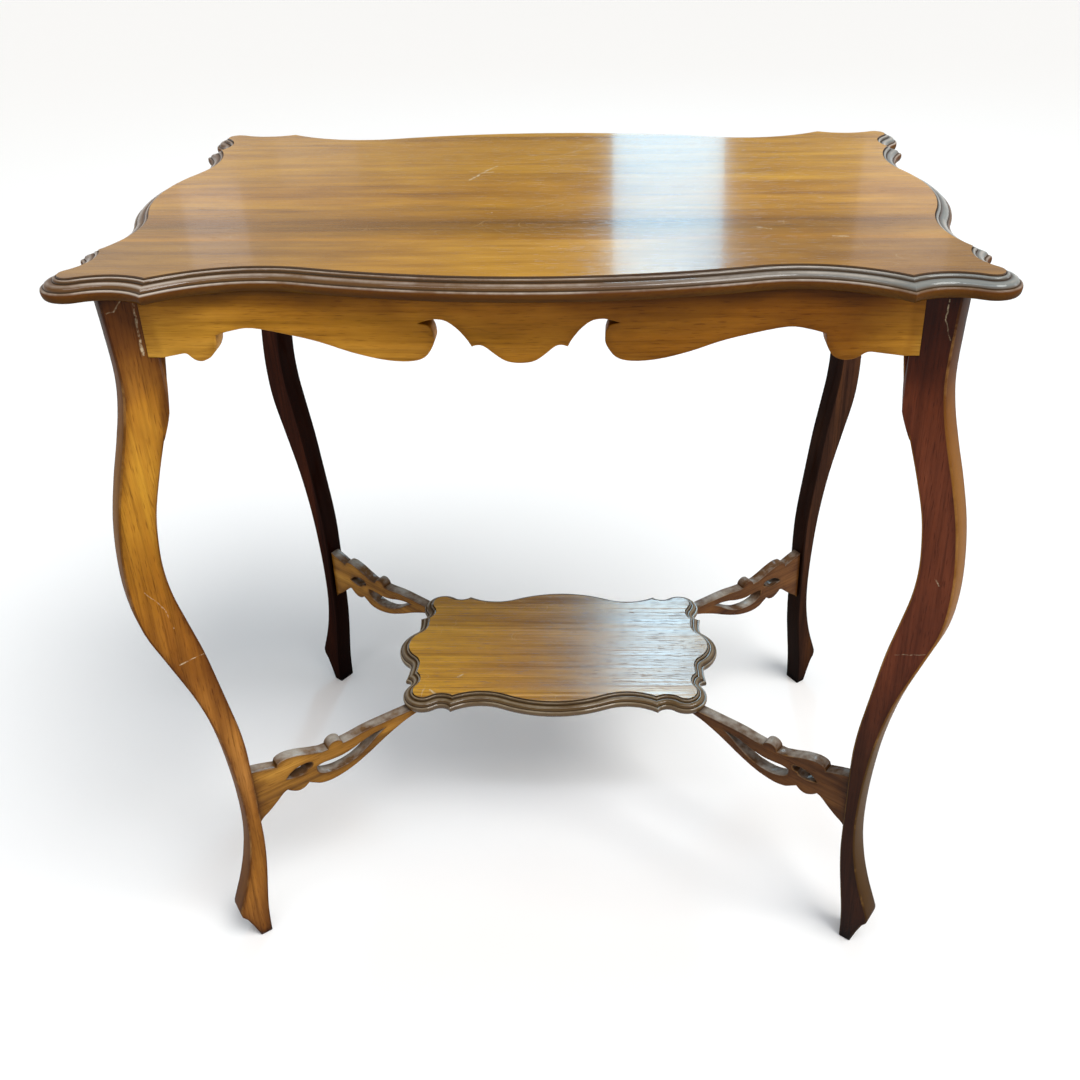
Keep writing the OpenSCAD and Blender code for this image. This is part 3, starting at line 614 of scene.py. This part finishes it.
# %% Stain, painted shade and painted highlights that follow the moulding
def moulding_stain_shade_and_glints(quirk_dirt_and_shade, bead, thumb, below, crest_wear_and_highlight, right_end_glare=0.0):
    """A rule for a run moulding: quirks dark with dirt and painted shade, dusty beads, a brown
    thumb painted darker below as shade, and crests pale with wear and painted highlights.
    Its last argument: how pale a painted highlight, the bluish glare of a window, makes the
    beads at the right end."""
    def rule(tree, wood, where):
        place = node(tree, "Attribute", out="Fac", attribute_name="run")
        # Quirks near black with dirt and painted shade; the thumb painted darker below as shade.
        tint = node(tree, "ValToRGB", {"Fac": place}, 0,
                    stops=[(0.0, bead), (0.05, quirk_dirt_and_shade), (0.11, bead), (0.21, bead), (0.28, quirk_dirt_and_shade),
                           (0.34, bead), (0.53, bead), (0.60, quirk_dirt_and_shade), (0.65, bead),
                           (0.72, thumb), (0.86, below)])
        wood = node(tree, "Mix", {0: 0.92, 6: wood, 7: tint}, **PAINTED)
        # Painted highlight: the bluish glare of a window pales the beads towards the right end.
        if right_end_glare:
            right = node(tree, "SeparateXYZ", {"Vector": where}, "X")
            right = node(tree, "MapRange", (right, 0.02, 0.30, 0.0, right_end_glare), 0)
            beads = node(tree, "ValToRGB", {"Fac": place}, 0, stops=[(at, (v, v, v, 1)) for at, v in (
                (0.06, 0), (0.13, 1), (0.19, 1), (0.28, 0), (0.38, 1), (0.50, 1), (0.58, 0))])
            glare_at_right = node(tree, "Math", (right, beads), **TIMES)
            wood = node(tree, "Mix", {0: glare_at_right, 6: wood, 7: "#8FA8AE"}, **PAINTED)
        # Pale crests: wear, and painted highlights where the beads would catch the light.
        crests = node(tree, "ValToRGB", {"Fac": place}, 0, stops=[(at, (v, v, v, 1)) for at, v in (
            (0.09, 0), (0.16, 1), (0.22, 0), (0.36, 0), (0.43, 0.9), (0.50, 0), (0.61, 0),
            (0.67, 1), (0.73, 0))])
        patches = pattern(tree, where, (90, 90, 90), 5, 0.7)
        patches = node(tree, "MapRange", (patches, 0.40, 0.60, 0.15, 0.85), 0)
        worn_and_glinting = node(tree, "Math", (crests, patches), **TIMES)
        return node(tree, "Mix", {0: worn_and_glinting, 6: wood, 7: crest_wear_and_highlight}, **PAINTED)
    return rule


# %% Materials round a moulded board
THUMB_FROM = 0.62  # the place where the thumb begins
HAIR = 0.001  # slack for places that were stored in single precision


def dress_moulding(piece, moulding, thumb, underside):
    """Gives the beads of a board, its thumb and its dull underside materials of their own."""
    run_place = piece.data.attributes["run"].data
    for material in (moulding, thumb, underside):
        piece.data.materials.append(material)
    count = [0, 0, 0, 0]
    for face in piece.data.polygons:
        places = [run_place[v].value for v in face.vertices]
        if min(places) > 1 - HAIR:
            face.material_index = 3
        elif len(places) < FLAT_CORNERS and min(places) > THUMB_FROM:
            face.material_index = 2
        elif len(places) < FLAT_CORNERS and max(places) > HAIR:
            face.material_index = 1
        count[face.material_index] += 1
    print(piece.name, "faces above, on the beads, on the thumb and below", count)


# %% Woods of the two boards
# The back board has a dark greenish band near the joint and a paler line behind it.
FRONT_TONES = ("#B27E1E", "#C89228", "#D49E38", "#BE881F")
BACK_TONES = ("#B17D14", "#CD9416", "#DBA425", "#C08712")
heartwood = tinted_by_place("Y", -132, 40,
                    [(-132, "#F0E8D8"), (-118, "#D6CEB6"), (-98, "#BDB698"), (-80, "#C9C0A4"),
                     (-62, "#E2DAC8"), (-42, "#FFFFFF"), (-28, "#F6F0E6"), (-8, "#E8E0D2"),
                     (12, "#F6F1E8"), (40, "#FFFFFF")], waver=30, scale=120)
sun_faded = tinted_by_place("X", -350, 350, [(-350, "#C4BEB8"), (-200, "#CCC6BE"), (-110, "#F0ECE4"),
                                     (60, "#FFFFFF"), (130, "#D6CEC2"), (350, "#C2BAAE")],
                    waver=80, scale=120)
paler_right = tinted_by_place("X", -350, 350, [(-350, "#F4F2EC"), (-200, "#F0EEE8"), (60, "#F0EEE8"),
                                       (150, "#FFFFFF"), (350, "#FFFFFF")], waver=80, scale=120)
TOP_SCRATCHES = [((-68.8, 36, 710), (-55.8, 69.4, 710), 1.3, 1.0),
                 ((-55.8, 69.4, 710), (-46.2, 86.8, 710), 1.2, 0.9),
                 ((-62.0, 60, 710), (-50.0, 62, 710), 1.0, 0.8),
                 ((-4.5, 103.9, 710), (28.1, 141, 710), 0.8, 0.5),
                 ((-20, -60, 710), (12, -34, 710), 0.7, 0.4),
                 ((232, -126, 710), (243, -127, 710), 1.4, 0.8),
                 ((176, -104, 710), (186, -108, 710), 1.2, 0.8)]
front_wood = polished_walnut("walnut_top_front", ALONG_X, FRONT_TONES, (0.3, 0.4, 0), 0.16,
                             (sun_faded,), contrast=0.4, hairs=0.25, grainy=0.2)
back_wood = polished_walnut("walnut_top_back", ALONG_X, BACK_TONES, (1.7, 0.9, 0), 0.16,
                            (heartwood, paler_right), contrast=0.45, hairs=0.3, grainy=0.2,
                            marks=TOP_SCRATCHES)

# %% Woods of the moulding and of the undersides
# Dark quirks of dirt and painted shade, a thumb painted darker below, pale crests of wear and painted
# highlight, and a painted glare at the right end.
TOP_EDGE = moulding_stain_shade_and_glints("#140B06", "#4E3524", "#4A220C", "#2E1205", "#C2B8AC", 0.42)
bead_wood = polished_walnut("walnut_top_beads", ALONG_X, BACK_TONES, (0.3, 0.4, 0), 0.14,
                            (TOP_EDGE,), film=(0.0, 0.7), contrast=0.7)
thumb_wood = polished_walnut("walnut_top_thumb", ALONG_X, BACK_TONES, (0.3, 0.4, 0), 0.3,
                             (TOP_EDGE,), film=(0.0, 0.15), contrast=0.7)
# Nobody polished the undersides, so they stayed dry and went brown.
DRY_TONES = ("#6E4A26", "#8A6236", "#9C7242", "#78522C")
under_wood = polished_walnut("walnut_underside", ALONG_X, DRY_TONES, (2.6, 0.3, 0), 0.62,
                             wear=0.2, film=(0.2, 0.0), contrast=0.9)

# %% Both boards, cut apart on the joint
SEAM_Y = -132 * MM
TOP_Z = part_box("top_back_board")[1].z
top_run = moulded_board(top_plan, CUTTER)
bmesh.ops.translate(top_run, verts=top_run.verts, vec=(0, 0, TOP_Z))
for name, sign, material, replaced in (("moulded_top_front", 1, front_wood, "top_front_board"),
                                       ("moulded_top_back", -1, back_wood, "top_back_board")):
    half = top_run.copy()
    cut = bmesh.ops.bisect_plane(half, geom=half.verts[:] + half.edges[:] + half.faces[:],
                                 plane_co=(0, SEAM_Y, 0), plane_no=(0, sign, 0),
                                 clear_outer=True)
    edges = [e for e in cut["geom_cut"] if isinstance(e, bmesh.types.BMEdge)]
    bmesh.ops.edgeloop_fill(half, edges=edges)
    dress_moulding(finish_piece(half, name, material, "polished_top", replaced), bead_wood,
                   thumb_wood, under_wood)
top_run.free()

# %% [markdown]
# ## The shelf
# The shelf is a small sister of the top, in one board, with the same cutter set for a
# thinner board and a narrower moulding.

# %% Woods of the shelf
SHELF_TONES = ("#AA7614", "#C8921E", "#D8A22A", "#B88216")
browner = tinted_by_place("X", -150, 150, [(-150, "#FFFFFF"), (-40, "#EAE2D8"), (20, "#D2CCC8"),
                                   (150, "#C6C4C4")], waver=60)
SHELF_SCRATCHES = [((-101.6, -53.2, 208), (-97, -49, 208), 1.2, 0.8),
                   ((-128, -73, 208), (-122, -78, 208), 1.3, 0.8),
                   ((-136, -88, 208), (-134, -66, 208), 0.8, 0.6)]
shelf_wood = polished_walnut("walnut_shelf", ALONG_X, SHELF_TONES, (0.9, 2.2, 0), 0.21,
                             (browner,), warp=0.005, film=(0.8, 0.0), contrast=0.9, hairs=0.3,
                             ripple=0.12, grainy=0.45, marks=SHELF_SCRATCHES)
# Dark quirks of dirt and painted shade, a thumb painted darker below, and pale crests of wear and
# painted highlight.
SHELF_EDGE = moulding_stain_shade_and_glints("#120C08", "#40301F", "#4A3B2B", "#30261D", "#A89C86")
shelf_moulding = polished_walnut("walnut_shelf_moulding", ALONG_X, SHELF_TONES, (0.9, 2.2, 0),
                                 0.16, (SHELF_EDGE,), film=(0.0, 0.7), contrast=0.7)

# %% Shelf
NARROWED = 0.8  # width of the shelf's moulding beside the top's, as in the photograph
SHELF_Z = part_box("shelf")[1].z
thinner = (SHELF_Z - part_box("shelf")[0].z) / (-CUTTER[LAST][1] * MM)
shelf_cutter = [(CUTTER_W - NARROWED * (CUTTER_W - out), down * thinner) for out, down in CUTTER]
shelf_run = moulded_board(shelf_plan, shelf_cutter)
bmesh.ops.translate(shelf_run, verts=shelf_run.verts, vec=(0, 0, SHELF_Z))
dress_moulding(finish_piece(shelf_run, "serpentine_shelf", shelf_wood, "polished_top", "shelf"),
               shelf_moulding, shelf_moulding, under_wood)

# %% [markdown]
# ## Sawn and eased parts
# Legs, rails and arms were sawn from flat boards along a drawn line, and their sharp edges were
# taken off with a file. The model already has their exact outlines, so each is a merged copy
# of its node, its flat faces made whole again, and a fine round is put on the edges of its two
# broad faces. The new faces carry the value eased, where the polish is rubbed thin, and all
# sawn faces carry the value narrow, because end grain takes the stain in another way.


# %% The broad side of a sawn board
def broad_side(bm):
    """The direction that the largest area of the board faces."""
    areas = {}
    for face in bm.faces:
        # Faces that look in opposite directions are counted together.
        n = face.normal if face.normal.x + 0.1 * face.normal.y + 0.01 * face.normal.z > 0 \
            else -face.normal
        key = tuple(round(c, 2) for c in n)
        areas[key] = areas.get(key, 0) + face.calc_area()
    return Vector(max(areas, key=areas.get)).normalized()


# %% Ease the edges of a sawn board
SHARP = math.radians(35)  # a convex edge that turns further gets eased


def eased_copy(node_name, width_mm, segments=3, skip=None):
    """A bmesh of a CAD node with the edges of its broad faces rounded."""
    bm = bmesh.new()
    bm.from_mesh(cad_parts[node_name].data)
    bmesh.ops.remove_doubles(bm, verts=bm.verts, dist=2e-6)
    bmesh.ops.dissolve_limit(bm, angle_limit=math.radians(0.4), verts=bm.verts, edges=bm.edges,
                             delimit={"NORMAL"})
    flat = broad_side(bm)
    chosen = []
    for edge in bm.edges:
        broad = [abs(f.normal.dot(flat)) > 0.999 for f in edge.link_faces]
        if len(broad) == 2 and sum(broad) == 1 and edge.is_convex \
                and edge.calc_face_angle() >= SHARP and not (skip and skip(edge)):
            chosen.append(edge)
    eased = bm.faces.layers.float.new("eased")
    narrow = bm.faces.layers.float.new("narrow")
    for face in bm.faces:
        face[narrow] = float(abs(face.normal.dot(flat)) < 0.5)
    made = bmesh.ops.bevel(bm, geom=chosen, offset=width_mm * MM, offset_type="OFFSET",
                           segments=segments, profile=0.5, affect="EDGES", material=-1,
                           clamp_overlap=False)
    for face in made["faces"]:
        face[eased], face[narrow] = 1.0, 1.0
    bmesh.ops.recalc_face_normals(bm, faces=bm.faces)
    print(node_name, "broad side", tuple(round(c, 2) for c in flat), len(chosen), "edges eased")
    return bm


# %% How the legs aged, and the shade painted on them
# The four legs differ: one is golden, one red brown, and the two at the back are nearly
# black. Part of that is their own colour and part is painted shade, for the right front leg and
# the back legs stand in shade; the black sides of the back legs are painted shade too. Heads and
# feet are darkest, and at the heads that is painted shade under the top. Old glue shows at both
# front heads, and the pale line of an old repair crosses each front leg. For each leg: the four
# tones, the colour of its sides, the film, the dirt along its margins, and its marks.
# Painted shade: every leg darkens towards its head, under the overhanging top.
shaded_heads = tinted_by_place("Z", 540, 710, [(540, "#FFFFFF"), (610, "#E8DCCB"), (640, "#AC9880"),
                                    (670, "#88725E"), (710, "#786452")], waver=50)
foot_dark = tinted_by_place("Z", 0, 260, [(0, "#80705C"), (14, "#A89880"), (60, "#D6CAB2"),
                                  (150, "#E2D8C0"), (260, "#FFFFFF")], waver=40)
knee_dark = tinted_by_place("Z", 0, 710, [(0, "#FFFFFF"), (100, "#FFFFDA"), (200, "#FFFFFF"),
                                  (250, "#F6EED2"), (340, "#C6B284"), (400, "#CCB87C"),
                                  (450, "#D8C878"), (540, "#FFFFA6"), (610, "#FFFFB8"),
                                  (655, "#FFFFFF")], waver=50)
shin_grey = tinted_by_place("Z", 0, 360, [(0, "#A2B0A8"), (240, "#A4B0A8"), (300, "#CACCC6"),
                                  (360, "#FFFFFF")], waver=40)
OWN_STAIN = {"front_left": (knee_dark,), "front_right": (shin_grey,)}
# Painted shade in part: the darker tones of the right front leg, and the near black tones and sides
# of the back legs.
LEGS = {
    "front_left": (("#8E5E2D", "#B47D3F", "#C8924B", "#9C6A33"), "#6A421E", (0.0, 0.15), 0.8,
                   [((-296.9, -203.4, 690.5), (-302.8, -207.6, 682), 1.0, 0.45),
                    ((-302.8, -207.6, 682), (-306.6, -210.4, 681.6), 0.8, 0.25),
                    ((-291, -199.1, 685.6), (-291.5, -199.5, 660.2), 1.1, 0.4),
                    ((-291.5, -199.5, 660.2), (-291.5, -199.4, 643), 1.3, 0.75),
                    ((-310.6, -212.7, 357.8), (-291.3, -198.9, 360.5), 0.7, 0.6),
                    ((-322, -221, 440), (-312, -214, 418), 0.6, 0.35),
                    ((-312, -214, 418), (-309, -212, 396), 0.6, 0.35)]),
    "front_right": (("#4C2314", "#6B351F", "#783E26", "#5C2C1B"), "#8A5C20", (0.0, 0.18), 0.6,
                    [((302.7, -207.1, 689), (302, -206.6, 673.3), 0.7, 0.4),
                     ((302, -206.6, 673.3), (306, -209.5, 658.8), 0.7, 0.4),
                     ((299.9, -205, 365.2), (320.1, -219.6, 377.5), 0.6, 0.3),
                     ((318, -218, 455), (322, -221, 449), 0.8, 0.5)]),
    "back_left": (("#200C06", "#321409", "#401C0C", "#270F07"), "#140704", (0.0, 0.05), 0.3, []),
    "back_right": (("#2A160D", "#43281A", "#553319", "#351F12"), "#1A0D09", (0.0, 0.08), 0.3, []),
}
print("marks on each leg", {spot: len(row[-1]) for spot, row in LEGS.items()})

# %% Legs
TOP_OF_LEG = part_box("leg_front_left")[1].z


def meets_top(edge):
    """True for an edge pressed against the top, which nobody could ease."""
    return min(v.co.z for v in edge.verts) > TOP_OF_LEG - 3 * MM


for spot, (tones, sides, film, margin, marks) in LEGS.items():
    wood = polished_walnut("walnut_leg_" + spot, ALONG_Z, tones,
                           (1.4, len(spot) * 0.37, 0.1), 0.3,
                           (shaded_heads, foot_dark) + OWN_STAIN.get(spot, ()),
                           0.4 if spot in OWN_STAIN else 0.0, film=film, contrast=0.8, narrow=sides,
                           margin=margin, marks=marks)
    bm = eased_copy("leg_" + spot, 1.6, skip=meets_top)
    finish_piece(bm, "cabriole_leg_" + spot, wood, "leg_wood", "leg_" + spot)

# %% Aprons
# The aprons are golden below and at their left, and dark where the top overhangs them: a painted
# shadow of the top.
APRON_TONES = ("#B48626", "#D8A642", "#E6B858", "#C49236")
# Painted shadow: darkest just under the overhanging top.
top_overhang_shadow = tinted_by_place("Z", 612, 694, [(612, "#FFFFFF"), (645, "#F4EEE2"), (668, "#E4D8C4"),
                                    (678, "#C8B696"), (687, "#9C8862"), (694, "#806E4A")],
                    waver=16)
rightwards = tinted_by_place("X", -300, 300, [(-300, "#FFFFFF"), (-120, "#EADFCB"), (-20, "#D0BE9E"),
                                      (100, "#AC946C"), (240, "#A88E66"), (282, "#E4D6BC"),
                                      (300, "#FFFFFF")], waver=60)
even = tinted_by_place("Z", 612, 694, [(612, "#D8C6A8"), (694, "#D0BC9C")])
for spot, grain, own in (("front", ALONG_X, rightwards), ("back", ALONG_X, even),
                         ("left", ALONG_Y, even), ("right", ALONG_Y, even)):
    wood = polished_walnut("walnut_apron_" + spot, grain, APRON_TONES,
                           (0.5, len(spot) * 0.21, 1.3), 0.3, (top_overhang_shadow, own), 0.3, warp=0.022,
                           film=(0.0, 0.15), contrast=0.6, margin=0.4)
    bm = eased_copy(spot + "_apron", 0.8, skip=meets_top)
    finish_piece(bm, "fretted_apron_" + spot, wood, "apron_wood", spot + "_apron")


# %% Dust and painted highlights on the arms
def dust_and_highlight(tree, wood, where):
    """A stain rule: upward faces, also inside the piercing, are pale with dust and wear, and with
    painted highlights.
    """
    up = node(tree, "SeparateXYZ", {"Vector": node(tree, "NewGeometry", out="Normal")}, "Z")
    up = node(tree, "MapRange", (up, 0.35, 0.9), 0)
    patches = pattern(tree, where, (28, 28, 28), 4, 0.6)
    patches = node(tree, "MapRange", (patches, 0.40, 0.62, 0.05, 0.85), 0)
    dust_and_glint = node(tree, "Math", (up, patches), **TIMES)
    return node(tree, "Mix", {0: dust_and_glint, 6: wood, 7: "#B6B3AA"}, **PAINTED)


# %% Arms
LEG_ANGLE = math.radians(35.7955)  # legs and arms stand turned from X by this much
# Painted shade in part: the arms on the right face away from the light and get darker tones.
ARM_TONES = {"left": ("#60401A", "#986A28", "#B48234", "#784F1E"),
             "right": ("#3E2413", "#603C1E", "#784E26", "#4C2F18")}
for spot, turn in (("front_right", -LEG_ANGLE), ("front_left", LEG_ANGLE),
                   ("back_right", LEG_ANGLE), ("back_left", -LEG_ANGLE)):
    wood = polished_walnut("walnut_arm_" + spot, (0, 0, -turn), ARM_TONES[spot.split("_")[1]],
                           (0.8, len(spot) * 0.13, 0.4), 0.26, (dust_and_highlight,), 0.5,
                           film=(0.0, 0.2), contrast=0.8, narrow="#5E4022", margin=0.7)
    bm = eased_copy("arm_" + spot, 1.0)
    finish_piece(bm, "pierced_arm_" + spot, wood, "arm_wood", "arm_" + spot)

# %% [markdown]
# ## Blocks, dowels and screws
# Under the top the joiner used raw beech, straight from the plane: corner blocks, glue blocks
# and dowels. It has short brown flecks and no shine. The screws are old steel, gone dull.


# %% Raw beech
def raw_beech(name, tones):
    """Planed beech: pale, dry, with short dark flecks along the grain."""
    material, tree = new_material(name)
    where = node(tree, "TexCoord", out="Object")
    long_way = node(tree, "Mapping", {"Vector": where, "Scale": (11, 140, 140)}, 0)
    bands = node(tree, "TexNoise", {"Vector": long_way, "Scale": 1.0, "Detail": 3.0}, "Fac")
    wood = node(tree, "ValToRGB", {"Fac": bands}, 0, stops=[(0.3, tones[0]), (0.6, tones[1])])
    short_way = node(tree, "Mapping", {"Vector": where, "Scale": (330, 1200, 1200)}, 0)
    flecks = node(tree, "TexNoise", {"Vector": short_way, "Scale": 1.0}, "Fac")
    fleck = node(tree, "MapRange", (flecks, 0.58, 0.68, 0.0, 0.6), 0)
    wood = node(tree, "Mix", {0: fleck, 6: wood, 7: "#7A5532"}, **PAINTED)
    bump = node(tree, "Bump", {"Strength": 0.3, "Distance": 0.0002, "Height": flecks}, 0)
    dry = node(tree, "BsdfPrincipled", {"Base Color": wood, "Roughness": 0.72, "IOR": 1.5,
                                        "Specular IOR Level": 0.3, "Normal": bump}, 0)
    node(tree, "OutputMaterial", {"Surface": dry})
    return material


# %% Blocks and dowels
block_wood = raw_beech("beech_blocks", ("#8F6A42", "#A88255"))
dowel_wood = raw_beech("beech_dowels", ("#A88457", "#BD9A6C"))
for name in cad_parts:
    if name.startswith(("corner_block_", "glue_block_")) and name != "corner_block_screws":
        bm = eased_copy(name, 0.6, 2)
        finish_piece(bm, "planed_" + name, block_wood, "block_wood", name)
for name in ("top_dowels", "arm_dowels"):
    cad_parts[name].data.materials.clear()
    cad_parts[name].data.materials.append(dowel_wood)
    print(name, "keep their model's shape, in beech")

# %% Dull steel
steel_material, tree = new_material("dull_steel_screws")
where = node(tree, "TexCoord", out="Object")
spots = node(tree, "TexNoise", {"Vector": where, "Scale": 900.0, "Detail": 4.0}, "Fac")
rust = node(tree, "ValToRGB", {"Fac": spots}, 0, stops=[(0.45, "#8A8884"), (0.62, "#6B4A33")])
steel = node(tree, "BsdfPrincipled", {"Base Color": rust, "Metallic": 0.85, "Roughness": 0.45}, 0)
node(tree, "OutputMaterial", {"Surface": steel})
print(steel_material.name, "with", len(tree.nodes), "nodes")


# %% Shells of a node
def islands(bm):
    """The separate shells of a mesh, as lists of vertices in a fixed order."""
    known, found = set(), []
    for first in bm.verts:
        if first in known:
            continue
        known.add(first)
        shell = [first]
        for v in shell:  # the list grows while it is walked
            for e in v.link_edges:
                w = e.other_vert(v)
                if w not in known:
                    known.add(w)
                    shell.append(w)
        found.append(shell)
    return found


# %% One screw
SLOT_W, SLOT_DEEP = 0.9, 0.9  # millimetres


def slotted_screw(bm, head, axis, shank_mm, length):
    """A countersunk wood screw with a slot, its head face at head and its point along axis."""
    r = shank_mm / 2
    shape = [(0.01, 0), (2 * r - 0.15, 0), (2 * r, 0.15), (r, r + 0.1), (r, length / MM)]
    line = [bm.verts.new(Vector((x, 0, z)) * MM) for x, z in shape]
    geom = line + [bm.edges.new(pair) for pair in zip(line, line[1:])]
    old = set(bm.verts) - set(line)

    def fresh(parts):
        """Those of the parts that belong to this screw."""
        return [g for g in parts if old.isdisjoint(getattr(g, "verts", (g,)))]

    bmesh.ops.spin(bm, geom=geom, cent=(0, 0, 0), axis=(0, 0, 1), angle=math.tau, steps=24,
                   use_merge=True)
    bmesh.ops.remove_doubles(bm, verts=fresh(bm.verts), dist=3e-5)
    for sign in (-1, 1):
        geom = fresh(bm.verts) + fresh(bm.edges) + fresh(bm.faces)
        bmesh.ops.bisect_plane(bm, geom=geom, plane_co=(0, sign * SLOT_W / 2 * MM, 0),
                               plane_no=(0, 1, 0))
    slot = [f for f in fresh(bm.faces)
            if all(abs(v.co.z) < 1e-6 and abs(v.co.y) < (SLOT_W / 2 + 0.01) * MM for v in f.verts)]
    sunk = bmesh.ops.extrude_face_region(bm, geom=slot)["geom"]
    bmesh.ops.translate(bm, verts=[v for v in sunk if isinstance(v, bmesh.types.BMVert)],
                        vec=(0, 0, SLOT_DEEP * MM))
    bmesh.ops.delete(bm, geom=[f for f in slot if f.is_valid], context="FACES_ONLY")
    turn = Vector((0, 0, 1)).rotation_difference(axis).to_matrix().to_4x4()
    bmesh.ops.transform(bm, matrix=Matrix.Translation(head) @ turn, verts=fresh(bm.verts))


# %% Screws
for name, shank in (("shelf_screws", 3.2), ("corner_block_screws", 4.2), ("top_screws", 4.2)):
    source = bmesh.new()
    source.from_mesh(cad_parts[name].data)
    bmesh.ops.remove_doubles(source, verts=source.verts, dist=2e-6)
    bm = bmesh.new()
    for shell in islands(source):
        middle = sum((v.co for v in shell), Vector()) / len(shell)
        if name == "corner_block_screws":
            axis = Vector((math.copysign(math.cos(LEG_ANGLE), middle.x),
                           math.copysign(math.sin(LEG_ANGLE), middle.y), 0))
        else:
            axis = Vector((0, 0, 1))
        along = [v.co.dot(axis) for v in shell]
        low = [v.co for v in shell if v.co.dot(axis) < min(along) + 1e-5]
        head = sum(low, Vector()) / len(low)
        slotted_screw(bm, head, axis, shank, max(along) - min(along))
    source.free()
    bmesh.ops.recalc_face_normals(bm, faces=bm.faces)
    finish_piece(bm, "slotted_" + name, steel_material, "steel", name)
